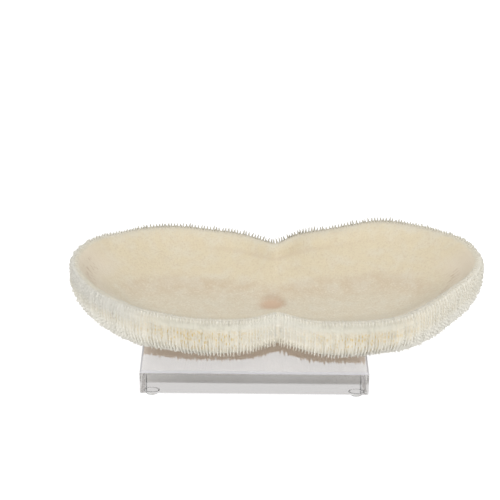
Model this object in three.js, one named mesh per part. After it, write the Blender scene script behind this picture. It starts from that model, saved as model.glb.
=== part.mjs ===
// A peanut-shaped mushroom coral, shown hollow side up on a clear acrylic block with bumper feet.
// Millimetres, +Z up. X runs along the coral, the viewer stands at -Y, and z = 0 is the table.
import * as THREE from "three";

// The acrylic block: its top edges are bevelled and its underside is plain.
const BLOCK = { length: 178, depth: 140, thick: 19, bevel: 2 };
// The clear bumpers under the block's corners, each a dome with a small flat where it meets the table.
const FOOT = { diameter: 12.7, height: 5, flat: 5.2, wall: 0.8, inset: 9, arcSteps: 4, sides: 20 };
// The coral's middle stands a little right of and behind the block's middle.
const CORAL_OFFSET = { x: 18, y: 15 };
const REST_GAP = 0.3;

// The rim seen from above: a superellipse, pinched at the waist on both long sides.
const RIM = { halfLength: 166, halfDepth: 93, powerX: 3.4, powerY: 1.9 };
const WAIST = { depth: 27, halfWidth: 24, power: 1.6 };
// The back of each lobe swells a little past the superellipse.
const BACK_SWELLS = [
  { x: -90, spread: 34, out: 4 },
  { x: 36, spread: 20, out: 3 },
  { x: 92, spread: 28, out: 5 },
];
// Both ends curl up and lean back, and the right lobe is tipped towards the viewer.
const LEFT_END = { rise: 13, lean: 8, power: 2 };
const RIGHT_END = { rise: 12, lean: 17, power: 1.7 };
const RIGHT_TIP = { height: 4, fullFrom: 83 };
// Slow waves that keep the rim from being a perfect curve.
const RIM_WAVES = [
  { turns: 7, phase: 0.4, size: 0.012 },
  { turns: 12, phase: 2.1, size: 0.007 },
  { turns: 19, phase: 4.0, size: 0.005 },
];

// The section from the axial furrow out to the rim, with heights above the block's top.
const FURROW_SHARE = 0.55;
const RIM_HEIGHT = 40;
const BELLY_POWER = 3.2;
const LIP = { width: 0.06, height: 2.5 };
const FLOOR = { height: 12, flatShare: 0.22, power: 1.4 };
const SADDLE = { height: 2.2, halfWidth: 20 };
const SCAR = { x: -4, y: 8, radius: 10, depth: 2 };

// Every ridge on the outside stands for a few septa and reaches the tips of their teeth. Along a ridge the
// teeth stand and dip by turns, and over the lip they lean out and die away.
const RIDGES = 180;
const RIDGE_HEIGHT = 3.2;
const TOOTH_DIP = 0.9;
const LIP_RIDGES = [
  { turn: 0, share: 1 },
  { turn: 0.3, share: 1 },
  { turn: 0.6, share: 0.15 },
  { turn: 1, share: 0 },
];
const COLUMNS_PER_PATCH = 4;

const CORAL_MATERIAL = { color: 0xe9e2cf, roughness: 0.9, metalness: 0 };
const ACRYLIC_MATERIAL = {
  color: 0xf4f6f6,
  roughness: 0.05,
  metalness: 0,
  transparent: true,
  opacity: 0.3,
};

const blockTop = FOOT.height + BLOCK.thick;
const columns = RIDGES * 2;

function signedPower(value, power) {
  return Math.sign(value) * Math.abs(value) ** power;
}

// The rim's plan point at angle t, from the coral's middle.
function planPoint(t) {
  const wave = RIM_WAVES.reduce((sum, w) => sum + w.size * Math.sin(w.turns * t + w.phase), 1);
  const x = RIM.halfLength * signedPower(Math.cos(t), 2 / RIM.powerX);
  const pinch = WAIST.depth * Math.exp(-(Math.abs(x / WAIST.halfWidth) ** WAIST.power));
  const half = RIM.halfDepth * Math.abs(Math.sin(t)) ** (2 / RIM.powerY);
  let y = Math.sign(Math.sin(t)) * Math.max(half * wave - pinch, 0);
  if (y > 0) {
    for (const swell of BACK_SWELLS) {
      y += swell.out * (half / RIM.halfDepth) * Math.exp(-(((x - swell.x) / swell.spread) ** 2));
    }
  }
  return { x, y };
}

// Angles of the columns, evenly spaced along the back half of the rim and then along the front half.
function columnAngles() {
  const steps = 4000;
  const angles = [];
  for (const start of [0, Math.PI]) {
    const lengths = [0];
    let last = planPoint(start);
    for (let i = 1; i <= steps; i++) {
      const next = planPoint(start + (Math.PI * i) / steps);
      lengths.push(lengths[i - 1] + Math.hypot(next.x - last.x, next.y - last.y));
      last = next;
    }
    let i = 0;
    for (let k = 0; k < columns / 2; k++) {
      const target = (lengths[steps] * k) / (columns / 2);
      while (lengths[i + 1] < target) i++;
      const share = (target - lengths[i]) / (lengths[i + 1] - lengths[i]);
      angles.push(start + (Math.PI * (i + share)) / steps);
    }
  }
  return angles;
}

// How far a point of the coral is lifted and leaned back by the way the whole coral curls.
function curl(x, y) {
  const end = x < 0 ? LEFT_END : RIGHT_END;
  const share = Math.abs(x / RIM.halfLength) ** end.power;
  const tip = RIGHT_TIP.height * THREE.MathUtils.smoothstep(x, 0, RIGHT_TIP.fullFrom);
  return { z: end.rise * share + (tip * y) / RIM.halfDepth, y: end.lean * share };
}

// A point at share u of the way from the furrow to the rim, at height z before the coral curls.
function sectionPoint(t, u, z) {
  const rim = planPoint(t);
  const furrow = FURROW_SHARE * rim.x;
  const x = furrow + u * (rim.x - furrow);
  const y = u * rim.y;
  const bent = curl(x, y);
  return new THREE.Vector3(x, y + bent.y, z + bent.z);
}

// The outside, below the lip.
function bellyPoint(t, u) {
  const bottom = REST_GAP + RIDGE_HEIGHT;
  const climb = 1 - (1 - Math.min(u, 1) ** BELLY_POWER) ** (1 / BELLY_POWER);
  return sectionPoint(t, u, bottom + (RIM_HEIGHT - LIP.height - bottom) * climb);
}

// The rounded lip, from its outer edge at turn 0 over the top to its inner edge at turn 1.
function lipPoint(t, turn) {
  const u = 1 - (LIP.width * (1 - Math.cos(Math.PI * turn))) / 2;
  return sectionPoint(t, u, RIM_HEIGHT - LIP.height * (1 - Math.sin(Math.PI * turn)));
}

// The hollow side: a flat floor that climbs to the lip, with a saddle at the waist and the scar of a stalk.
function hollowPoint(t, u) {
  const edge = 1 - LIP.width;
  const climb = Math.max(u / edge - FLOOR.flatShare, 0) / (1 - FLOOR.flatShare);
  const z = FLOOR.height + (RIM_HEIGHT - LIP.height - FLOOR.height) * climb ** FLOOR.power;
  const point = sectionPoint(t, u, z);
  const middle = Math.exp(-((point.x / SADDLE.halfWidth) ** 2));
  const scarDistance = Math.hypot(point.x - SCAR.x, point.y - SCAR.y) / SCAR.radius;
  point.z += SADDLE.height * middle * (1 - u / edge) - SCAR.depth * Math.exp(-(scarDistance ** 2));
  return point;
}

// A point raised off a surface of t and v by a height along its outward normal.
function raised(surface, t, v, height) {
  const step = 1e-3;
  const along = surface(t + step, v).sub(surface(t - step, v));
  const across = surface(t, v + step).sub(surface(t, v - step));
  return surface(t, v).addScaledVector(along.cross(across).normalize(), height);
}

// The rings of the coral's skin, from the belly's furrow to the hollow's floor. Ridged rings have every
// column, with crests on the even ones. Plain rings have one column for each patch.
const BELLY_PLAIN = [0.1, 0.25, 0.4];
const BELLY_RIDGED = [0.5, 0.64, 0.77, 0.88, 0.96];
const HOLLOW_PLAIN = [0.9, 0.78, 0.64, 0.5, 0.36, 0.22, 0.08];

function ringsOfSkin() {
  const angles = columnAngles();
  const patches = angles.filter((_, i) => i % COLUMNS_PER_PATCH === 0);
  const crest = (i, height) => (i % 2 === 0 ? height : 0);
  const rings = [];
  for (const u of BELLY_PLAIN) {
    rings.push(patches.map((t) => raised(bellyPoint, t, u, RIDGE_HEIGHT)));
  }
  BELLY_RIDGED.forEach((u, row) => {
    const dip = (i) => ((i / 2 + row) % 2 === 0 ? TOOTH_DIP : 0);
    const height = (i) => crest(i, RIDGE_HEIGHT - dip(i));
    rings.push(angles.map((t, i) => raised(bellyPoint, t, u, height(i))));
  });
  for (const { turn, share } of LIP_RIDGES) {
    rings.push(angles.map((t, i) => raised(lipPoint, t, turn, crest(i, RIDGE_HEIGHT * share))));
  }
  for (const u of HOLLOW_PLAIN) {
    rings.push(patches.map((t) => hollowPoint(t, u)));
  }
  return rings;
}

// Joins two neighbouring rings with triangles, whichever has more columns.
function joinRings(a, b, index) {
  const stepA = columns / a.count;
  const stepB = columns / b.count;
  let i = 0;
  let j = 0;
  while (i < a.count || j < b.count) {
    const pa = a.start + (i % a.count);
    const pb = b.start + (j % b.count);
    const middleA = (i + 0.5) * stepA;
    const middleB = (j + 0.5) * stepB;
    if (j === b.count || (i < a.count && middleA <= middleB)) {
      i++;
      index.push(pa, a.start + (i % a.count), pb);
    } else {
      j++;
      index.push(pa, b.start + (j % b.count), pb);
    }
  }
}

// Closes a ring with rungs from each column of the back to its fellow at the front.
function closeRing(ring, index, flip) {
  const last = ring.count - 1;
  const add = (p, q, r) => (flip ? index.push(p, r, q) : index.push(p, q, r));
  for (let i = 0; i < ring.count / 2; i++) {
    const [a, b] = [ring.start + i, ring.start + i + 1];
    const d = ring.start + ((last - i + 1) % ring.count);
    const c = ring.start + last - i;
    if (d !== a) add(a, b, d);
    if (c !== b) add(b, c, d);
  }
}

function coralGeometry() {
  const rings = ringsOfSkin();
  const positions = [];
  const index = [];
  const spans = rings.map((ring) => {
    const span = { start: positions.length / 3, count: ring.length };
    ring.forEach((p) => positions.push(p.x, p.y, p.z));
    return span;
  });
  for (let r = 0; r + 1 < spans.length; r++) {
    joinRings(spans[r], spans[r + 1], index);
  }
  closeRing(spans[0], index, true);
  closeRing(spans[spans.length - 1], index, false);
  const geometry = new THREE.BufferGeometry();
  geometry.setAttribute("position", new THREE.Float32BufferAttribute(positions, 3));
  geometry.setIndex(index);
  geometry.computeVertexNormals();
  return geometry;
}

// A box whose top edges are cut back by the bevel.
function blockGeometry() {
  const geometry = new THREE.BoxGeometry(BLOCK.length, BLOCK.depth, BLOCK.thick, 1, 1, 2);
  const position = geometry.getAttribute("position");
  for (let i = 0; i < position.count; i++) {
    const z = position.getZ(i);
    if (z === 0) position.setZ(i, BLOCK.thick / 2 - BLOCK.bevel);
    if (z > 0) {
      position.setX(i, Math.sign(position.getX(i)) * (BLOCK.length / 2 - BLOCK.bevel));
      position.setY(i, Math.sign(position.getY(i)) * (BLOCK.depth / 2 - BLOCK.bevel));
    }
  }
  geometry.computeVertexNormals();
  return geometry;
}

// A dome, flat on top where it is stuck to the block, with a short upright wall there.
function footGeometry() {
  const radius = FOOT.diameter / 2;
  const flat = FOOT.flat / 2;
  const profile = [new THREE.Vector2(0, 0)];
  for (let i = 0; i <= FOOT.arcSteps; i++) {
    const turn = (Math.PI / 2) * (i / FOOT.arcSteps);
    const out = flat + (radius - flat) * Math.sin(turn);
    profile.push(new THREE.Vector2(out, (FOOT.height - FOOT.wall) * (1 - Math.cos(turn))));
  }
  profile.push(new THREE.Vector2(radius, FOOT.height), new THREE.Vector2(0, FOOT.height));
  return new THREE.LatheGeometry(profile, FOOT.sides).rotateX(Math.PI / 2);
}

function named(name, geometry, material) {
  const mesh = new THREE.Mesh(geometry, new THREE.MeshStandardMaterial(material));
  mesh.name = name;
  return mesh;
}

const stand = new THREE.Group();
const block = named("acrylic_block", blockGeometry(), ACRYLIC_MATERIAL);
block.position.z = FOOT.height + BLOCK.thick / 2;
stand.add(block);
for (const [sideY, nameY] of [[-1, "front"], [1, "back"]]) {
  for (const [sideX, nameX] of [[-1, "left"], [1, "right"]]) {
    const foot = named(`foot_${nameY}_${nameX}`, footGeometry(), ACRYLIC_MATERIAL);
    foot.position.x = sideX * (BLOCK.length / 2 - FOOT.inset);
    foot.position.y = sideY * (BLOCK.depth / 2 - FOOT.inset);
    stand.add(foot);
  }
}

const coral = named("coral", coralGeometry(), CORAL_MATERIAL);
coral.position.set(CORAL_OFFSET.x, CORAL_OFFSET.y, blockTop);

// The origin is on the table, under the middle of the whole piece's box.
const display = new THREE.Group();
display.add(stand, coral);
const middle = new THREE.Box3().setFromObject(display, true).getCenter(new THREE.Vector3());
stand.position.set(-middle.x, -middle.y, 0);
coral.position.add(new THREE.Vector3(-middle.x, -middle.y, 0));

export default display;
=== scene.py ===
"""The looks of a peanut-shaped mushroom coral on a clear acrylic block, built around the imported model."""
from collections import namedtuple
from functools import reduce

import bpy
import numpy as np
from mathutils import Matrix, Vector


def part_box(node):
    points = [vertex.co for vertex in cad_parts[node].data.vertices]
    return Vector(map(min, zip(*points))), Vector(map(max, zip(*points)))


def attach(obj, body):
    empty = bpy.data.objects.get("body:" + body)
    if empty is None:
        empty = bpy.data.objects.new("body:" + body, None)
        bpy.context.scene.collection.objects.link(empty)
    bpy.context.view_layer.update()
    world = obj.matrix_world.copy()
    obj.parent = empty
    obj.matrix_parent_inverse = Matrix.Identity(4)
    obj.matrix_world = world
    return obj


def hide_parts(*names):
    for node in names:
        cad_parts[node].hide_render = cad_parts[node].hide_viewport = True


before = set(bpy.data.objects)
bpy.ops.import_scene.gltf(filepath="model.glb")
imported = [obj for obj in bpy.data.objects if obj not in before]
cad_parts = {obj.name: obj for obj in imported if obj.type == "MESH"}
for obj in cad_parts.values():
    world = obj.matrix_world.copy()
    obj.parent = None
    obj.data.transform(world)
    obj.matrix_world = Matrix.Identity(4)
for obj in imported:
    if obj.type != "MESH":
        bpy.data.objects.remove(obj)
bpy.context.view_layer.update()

MM = 0.001
RANDOM = np.random.default_rng(7)
ANY_PHASE = (0, 6.3)

# The coral's form, in millimetres, as in the solid: the rim's plan, the way it curls, and its section.
HALF_LENGTH, HALF_DEPTH = 166, 93
POWER_X, POWER_Y = 3.4, 1.9
WAIST_DEPTH, WAIST_HALF_WIDTH, WAIST_POWER = 27, 24, 1.6
RIM_WAVES = ((7, 0.4, 0.012), (12, 2.1, 0.007), (19, 4.0, 0.005))
LEFT_RISE, LEFT_LEAN, LEFT_POWER = 13, 8, 2
RIGHT_RISE, RIGHT_LEAN, RIGHT_POWER = 12, 17, 1.7
RIGHT_TIP, RIGHT_TIP_FROM = 4, 83
FURROW_HALF_LENGTH = 105
RIM_HEIGHT, BELLY_BOTTOM, BELLY_POWER = 40, 3.5, 3.2
LIP_WIDTH, LIP_HEIGHT = 0.1, 4.5
LIP_TOP, LIP_FOOT = 1 - LIP_WIDTH / 2, 0.76
FLOOR_HEIGHT, FLOOR_FLAT_SHARE, FLOOR_POWER, FLOOR_EASE = 12, 0.22, 1.4, 0.12
BOWL_RISE, BOWL_EDGE, FRONT_POWER_DROP = 25.5, 0.94, 0.3
SADDLE_HEIGHT, SADDLE_HALF_WIDTH = 2.2, 20
SCAR_X, SCAR_Y, SCAR_RADIUS, SCAR_DEPTH = -4, 8, 10, 2
CORAL_OFFSET_X, CORAL_OFFSET_Y = 18, 15
SMALL_STEP = 1e-4

# Humps along the rim, in millimetres: each one's middle along x, its half width, and its reach out or up.
BACK_SWELLS = ((-90, 34, 4), (36, 20, 3), (92, 28, 5))
FRONT_SWELLS = ((-115, 30, 5), (104, 22, 2), (148, 20, -13))
FRONT_LIFTS = ((-115, 40, 4), (-45, 32, 4), (46, 28, 4), (126, 38, 5))
BACK_LIFTS = ((0, 120, 2.6), (-90, 25, 1), (14, 13, 2.5), (42, 18, -1.5), (84, 26, 1.8))
FRONT_LIFT_Y, BACK_LIFT_Y, LIFT_FOOT = (25, -30), (0, 55), 12

# The septa: a long one and a short one by turns, all round the rim, with a groove between neighbours.
# Here and below, a pair of numbers is a span that runs from none to full, or the limits of a random value.
# Names that end in X or Y are spans along an axis, and in DOWN they run down the wall from the lip's top.
Blade = namedtuple("Blade", "height thick samples start reach spike")
LONG = Blade(height=3.15, thick=0.95, samples=150, start=2.0, reach=None, spike=1)
SHORT = Blade(height=1.9, thick=0.6, samples=50, start=4.5, reach=(0.12, 0.2), spike=0)
SEPTA = 608
COLUMNS = SEPTA * 2
END_SPACING, RIM_SAMPLES = 0.65, 4001
LIP_SAMPLES, BELLY_SAMPLES, BELLY_END = 40, 260, 0.04
BLADE_CROWDING, WALL_CROWDING = 1, 1.6
INNER_FRONT, INNER_BACK, INNER_SINE = 0.9, 0.4, (0, -0.8)
THICK_SPREAD, THICK_RUN = (0.8, 1.15), 3
CREST_HALF, NOTCH_HALF, ROOT_DEPTH, CREST_GAIN = 0.17, 0.14, 0.3, 1.2
BEND, BEND_LENGTH, BEND_RUN, LEAN_SPREAD = 0.16, (1.5, 4), 4, (-0.25, 0.25)
BLADE_UV = np.array((-0.45, -0.12, 0.12, 0.45))
FRONT_LIP_CUT, FRONT_LIP_Y = 0.3, (0, -40)
FRONT_LIP_DOWN, PAST_LIP_DOWN = (0, 3), (3, 13)
LOW_END_EXTRA, LOW_END_DOWN, LOW_END_X = 0.2, (14, 22), (70, 110)

# The teeth along each septum, and the spikes that the first teeth make on the back rim.
TOOTH_PITCH, PITCH_SPREAD = 3.0, (0.8, 1.25)
WANDER, WANDER_LENGTH, WANDER_DOWN = 0.3, (6, 11), (0, 8)
TEETH, TEETH_ABOVE = 100, 8
LEAST_TOOTH, LEAST_TOOTH_RUN = 0.55, 4
TOOTH_CUT, CUT_SPREAD = 0.32, (0.7, 1.2)
LOW_CUT, LOW_CUT_DOWN = 0.3, (18, 26)
FIRST_CUT, FIRST_CUT_WIDTH = 0.2, 0.9
FIRST_SPREAD, FIRST_MARGIN = (0.35, 1), 1
OVER_LIP, OVER_LIP_RUN, OVER_LIP_SPREAD = 0.3, 4, (0.6, 1.4)
RISE_FROM = 0.1
BLADE_END, BLADE_END_RUN = 0.25, 14
HEIGHT_SPREAD = (0.88, 1)
SPIKE_THICK, SPIKE_SPREAD, SPIKE_RUN = 2.3, (0.5, 1.2), 2
SPIKE_EXTRA, SPIKE_HUMPS, SPIKE_TURN = 0.3, ((10, 60, 0.35),), 0.6
SPIKE_X, SPIKE_Y = (130, 95), (-35, 35)

# The ground between the septa, with bars across the grooves and pits between the bars.
WALL_ROWS = 80
LIP_RIB, RIB_RUN = 0.15, 2
BAR_HEIGHT, BAR_PITCH, BAR_SPREAD = 0.6, (2.3, 3.8), (0.3, 1.1)
BAR_WANDER, BAR_WANDER_LENGTH = 0.2, 5
PITS, PIT_SPREAD, PIT_GAIN, PIT_GOLD = 100, (-0.8, 1.2), 1.5, 1.3
GROUND_RISE, GROUND_DOWN = 1.1, (1, 8)
GROUND_LOW_CUT, GROUND_LOW_DOWN = 0.9, (18, 28)
GOLD_SINK = 0.6
END_SINK, END_SINK_X = 0.5, (90, 130)
FOOT_SINK, FOOT_SINK_DOWN = 0.3, (16, 26)

# The hollow's relief. Names that end in SHARE are spans of the way from the furrow to the rim.
HOLLOW_ROWS, HOLLOW_CROWDING, HOLLOW_START = 80, 1.08, 0.045
HOLLOW_BACK_Y = (-10, 30)
LIP_EASE = 0.05
HOLLOW_RIB, HOLLOW_RIB_SHARE = 0.1, (0.25, 0.9)
GRAIN_HEIGHT, GRAIN_SHARE = 0.07, (0.1, 0.4)
RING_HEIGHT, RINGS, RING_WOBBLE, RING_LOBES = 0.07, 8, 1.3, 3
FOLD_HEIGHT, FOLD_FOOT_SHARE, FOLD_TOP_SHARE = 1.4, (0.8, 0.86), (0.88, 0.95)
FOLD_MIDDLE, FOLD_HALF_WIDTH = 15, 50

# The clear block, with upright corners that are nearly sharp, and the clear feet under it.
BLOCK_BEVEL, BLOCK_EASE = 1.5, 0.25
BUMPER_SIDES, BUMPER_ARC_STEPS = 48, 10
BUMPER_FLAT, BUMPER_WALL, BUMPER_PINHOLE = 2.6, 0.3, 0.01
BUMPER_RING, BUMPER_RING_EDGE = 1.1, 0.1
BUMPER_TOUCH, BUMPER_DIP = 0.02, 0.06

# The camera, from the block's middle on the table, in millimetres and degrees.
CAMERA_PLACE = (-7.6, -1300.8, 683.6)
CAMERA_YAW, CAMERA_PITCH, CAMERA_ROLL = -0.15, 24.3, 0.59
CAMERA_LENS, CAMERA_CLIP = 129.6, 0.05

block_low, block_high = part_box("acrylic_block")
BLOCK_MIDDLE = np.array(((block_low[0] + block_high[0]) / 2, (block_low[1] + block_high[1]) / 2, 0)) / MM
BLOCK_TOP = block_high[2] / MM
CORAL_MIDDLE = BLOCK_MIDDLE + np.array((CORAL_OFFSET_X, CORAL_OFFSET_Y, BLOCK_TOP))


def smoothstep(low, high, value):
    share = np.clip((value - low) / (high - low), 0, 1)
    return share * share * (3 - 2 * share)


def hump(value, middle, half_width):
    return np.exp(-(((value - middle) / half_width) ** 2))


def humps(value, rows):
    return sum(size * hump(value, middle, half_width) for middle, half_width, size in rows)


def one_each(span, count):
    """A random value for each of some lines."""
    return RANDOM.uniform(*span, (count, 1))


# Surfaces of the coral, as functions of the angle t round the rim.
def plan(t):
    """The rim's x and y from the coral's middle."""
    cos, sin = np.cos(t), np.sin(t)
    wave = 1 + sum(size * np.sin(turns * t + phase) for turns, phase, size in RIM_WAVES)
    x = HALF_LENGTH * np.sign(cos) * np.abs(cos) ** (2 / POWER_X)
    pinch = WAIST_DEPTH * np.exp(-np.abs(x / WAIST_HALF_WIDTH) ** WAIST_POWER)
    half = HALF_DEPTH * np.abs(sin) ** (2 / POWER_Y)
    y = np.sign(sin) * np.maximum(half * wave - pinch, 0)
    swell = np.where(y > 0, humps(x, BACK_SWELLS), -humps(x, FRONT_SWELLS))
    return x, y + swell * half / HALF_DEPTH


def curl(x, y):
    """How far a point is leaned back and lifted by the way the whole coral curls."""
    left = np.abs(x / HALF_LENGTH) ** LEFT_POWER
    right = np.abs(x / HALF_LENGTH) ** RIGHT_POWER
    tip = RIGHT_TIP * smoothstep(0, RIGHT_TIP_FROM, x) * y / HALF_DEPTH
    lean = np.where(x < 0, LEFT_LEAN * left, RIGHT_LEAN * right)
    return lean, np.where(x < 0, LEFT_RISE * left, RIGHT_RISE * right) + tip


def section(t, u, z):
    """A point at share u of the way from the furrow to the rim, at height z before the coral curls."""
    rim_x, rim_y = plan(t)
    furrow = FURROW_HALF_LENGTH * np.tanh(rim_x / FURROW_HALF_LENGTH)
    x = furrow + u * (rim_x - furrow)
    y = u * rim_y
    lean, lift = curl(x, y)
    front = humps(x, FRONT_LIFTS) * smoothstep(*FRONT_LIFT_Y, rim_y)
    back = humps(x, BACK_LIFTS) * smoothstep(*BACK_LIFT_Y, rim_y)
    uneven = (front + back) * smoothstep(LIFT_FOOT, RIM_HEIGHT, z)
    return np.stack((x, y + lean, z + lift + uneven), -1)


def belly(t, turn):
    """The outside, from the furrow at turn 0 to the lip's outer edge at turn 1."""
    angle = np.clip(turn, 0, 1) * np.pi / 2
    u = np.sin(angle) ** (2 / BELLY_POWER)
    climb = 1 - np.cos(angle) ** (2 / BELLY_POWER)
    return section(t, u, BELLY_BOTTOM + (RIM_HEIGHT - LIP_HEIGHT - BELLY_BOTTOM) * climb)


def lip(t, turn):
    """The rounded lip, from its outer edge at turn 0 over the top to its inner edge at turn 1."""
    u = 1 - LIP_WIDTH * (1 - np.cos(np.pi * turn)) / 2
    return section(t, u, RIM_HEIGHT - LIP_HEIGHT * (1 - np.sin(np.pi * turn)))


def bowl(t, u):
    """Height of the hollow: a flat floor, then a slope that steepens towards the rim, least at the front."""
    past = (u / BOWL_EDGE - FLOOR_FLAT_SHARE) / (1 - FLOOR_FLAT_SHARE)
    climb = (past + np.sqrt(past**2 + FLOOR_EASE**2)) / 2
    power = FLOOR_POWER - FRONT_POWER_DROP * smoothstep(0, -1, np.sin(t))
    return FLOOR_HEIGHT + BOWL_RISE * climb**power


def hollow(t, u):
    """The hollow side up to the lip's top, which it rounds into, with a saddle and a stalk's scar."""
    share = np.clip((u - LIP_FOOT) / (LIP_TOP - LIP_FOOT), 0, 1)
    foot = bowl(t, LIP_FOOT)
    climb = (bowl(t, LIP_FOOT + SMALL_STEP) - foot) / SMALL_STEP * (LIP_TOP - LIP_FOOT)
    rounded = foot + climb * share * (1 - share) ** 2 + (RIM_HEIGHT - foot) * smoothstep(0, 1, share)
    point = section(t, u, np.where(u < LIP_FOOT, bowl(t, u), rounded))
    saddle = SADDLE_HEIGHT * hump(point[..., 0], 0, SADDLE_HALF_WIDTH) * np.clip(1 - u / LIP_TOP, 0, 1)
    point[..., 2] += saddle - SCAR_DEPTH * scar_share(point)
    return point


def scar_share(point):
    return hump(np.hypot(point[..., 0] - SCAR_X, point[..., 1] - SCAR_Y), 0, SCAR_RADIUS)


def column_angles():
    """Angles of the columns along the back half of the rim and then along the front half: evenly
    spaced on the long sides and wider apart round the ends."""
    angles = []
    half = COLUMNS // 2
    for start in (0, np.pi):
        t = np.linspace(start, start + np.pi, RIM_SAMPLES)
        x, y = plan(t)
        length = np.concatenate(((0,), np.cumsum(np.hypot(np.diff(x), END_SPACING * np.diff(y)))))
        angles.append(np.interp(np.arange(half) * length[-1] / half, length, t))
    return np.concatenate(angles)


ANGLES = column_angles()
RIDGE_OR_GROOVE = np.where(np.arange(COLUMNS) % 2 == 0, 1, -1)[:, None]


def outside(t, turn):
    """The belly up to turn 1, the outer half of the lip up to turn 2, and then the hollow side of the rim."""
    rim = lip(t, np.clip(turn - 1, 0, 1) / 2)
    inner = hollow(t, LIP_TOP - LIP_WIDTH * np.clip(turn - 2, 0, 2))
    return np.where((turn <= 1)[..., None], belly(t, turn), np.where((turn <= 2)[..., None], rim, inner))


def with_normals(surface, t, v):
    """Points of a surface, its unit normals, which point out of the coral, and its sideways directions."""
    step = 1e-3
    along = surface(t + step, v) - surface(t - step, v)
    across = surface(t, v + step) - surface(t, v - step)
    normal = np.cross(along, across)
    normal /= np.linalg.norm(normal, axis=-1, keepdims=True)
    side = along / np.linalg.norm(along, axis=-1, keepdims=True)
    return surface(t, v), normal, side


def outside_lines(angles, samples, crowding, reach, inner=0.001):
    """Lines down the outside, one for each angle, from a little way inside the rim, over the lip and on
    over a share of the way to the furrow. The samples crowd towards the lip. Returns points, normals,
    sideways directions and distances from the lip's top."""
    to_top = np.linspace(1, 0, LIP_SAMPLES + 1)[:-1]
    start = 2 + np.broadcast_to(inner, len(angles))[:, None] * to_top
    rest = np.concatenate((1 + to_top, np.linspace(1, BELLY_END, BELLY_SAMPLES)))
    turn = np.concatenate((start, np.tile(rest, (len(angles), 1))), 1)
    found = with_normals(outside, angles[:, None] + 0 * turn, turn)
    steps = np.linalg.norm(np.diff(found[0], axis=1), axis=-1)
    away = np.concatenate((np.zeros((len(angles), 1)), np.cumsum(steps, 1)), 1)
    away -= away[:, start.shape[1]][:, None]
    share = np.linspace(0, 1, samples)
    share = (share + crowding * share**2) / (1 + crowding)
    wanted = away[:, :1] + (away[:, -1] * reach - away[:, 0])[:, None] * share
    lines = np.empty((3, len(angles), samples, 3))
    for which, values in enumerate(found):
        for i in range(len(angles)):
            for axis in range(3):
                lines[which, i, :, axis] = np.interp(wanted[i], away[i], values[i, :, axis])
    lines[1:] /= np.linalg.norm(lines[1:], axis=-1, keepdims=True)
    return (*lines, wanted)


# Meshes from arrays.
def mesh_piece(name, points, faces, material, node, uv=None, masks=None, smooth=True):
    """A piece of the coral or stand that stands for a node, with points in millimetres in the row frame."""
    mesh = bpy.data.meshes.new(name)
    faces = np.asarray(faces)
    corners = faces.shape[1]
    mesh.vertices.add(len(points))
    mesh.vertices.foreach_set("co", (np.asarray(points) * MM).astype(np.float32).ravel())
    mesh.loops.add(faces.size)
    mesh.loops.foreach_set("vertex_index", faces.ravel().astype(np.int32))
    mesh.polygons.add(len(faces))
    mesh.polygons.foreach_set("loop_start", np.arange(len(faces), dtype=np.int32) * corners)
    mesh.polygons.foreach_set("use_smooth", np.full(len(faces), smooth))
    if uv is not None:
        layer = mesh.uv_layers.new(name="OFBake")
        layer.uv.foreach_set("vector", uv[faces.ravel()].astype(np.float32).ravel())
    for mask, values in (masks or {}).items():
        attribute = mesh.attributes.new(mask, "FLOAT", "POINT")
        attribute.data.foreach_set("value", np.asarray(values, np.float32).ravel())
    mesh.update()
    mesh.validate()
    mesh.materials.append(material)
    piece = bpy.data.objects.new(name, mesh)
    bpy.context.scene.collection.objects.link(piece)
    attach(piece, "root")
    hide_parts(node)
    return piece


def fit_uv(uv):
    """Map coordinates spread over the unit square, with a small margin."""
    margin = 0.01
    return (uv - uv.min(0)) / np.ptp(uv, axis=0) * (1 - 2 * margin) + margin


def grid_faces(columns, rows):
    """Quads of a grid whose columns close into a ring and whose points run row by row inside each column."""
    i = np.arange(columns)[:, None]
    j = np.arange(rows - 1)[None, :]
    a = i * rows + j
    b = ((i + 1) % columns) * rows + j
    return np.stack((a, b, b + 1, a + 1), -1).reshape(-1, 4)


def dish_faces(rows):
    """Quads of a grid round the coral. The last ring is closed from each column of the back to its fellow
    at the front."""
    ring = np.arange(COLUMNS) * rows + rows - 1
    half = COLUMNS // 2
    back, front = ring[1:half], ring[:half:-1]
    ladder = np.stack((back[:-1], back[1:], front[1:], front[:-1]), -1)
    return np.concatenate((grid_faces(COLUMNS, rows), ladder))


def blade_faces(count, rows, first):
    """Quads of blades whose points run across, then along, then blade by blade, with both ends closed."""
    base = first + (np.arange(count)[:, None, None] * rows + np.arange(rows - 1)[None, :, None]) * 4
    a = base + np.arange(3)
    sides = np.stack((a, a + 1, a + 5, a + 4), -1).reshape(-1, 4)
    top = first + np.arange(count)[:, None] * rows * 4 + np.array((3, 2, 1, 0))
    return np.concatenate((sides, top, top[:, ::-1] + (rows - 1) * 4))


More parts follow.
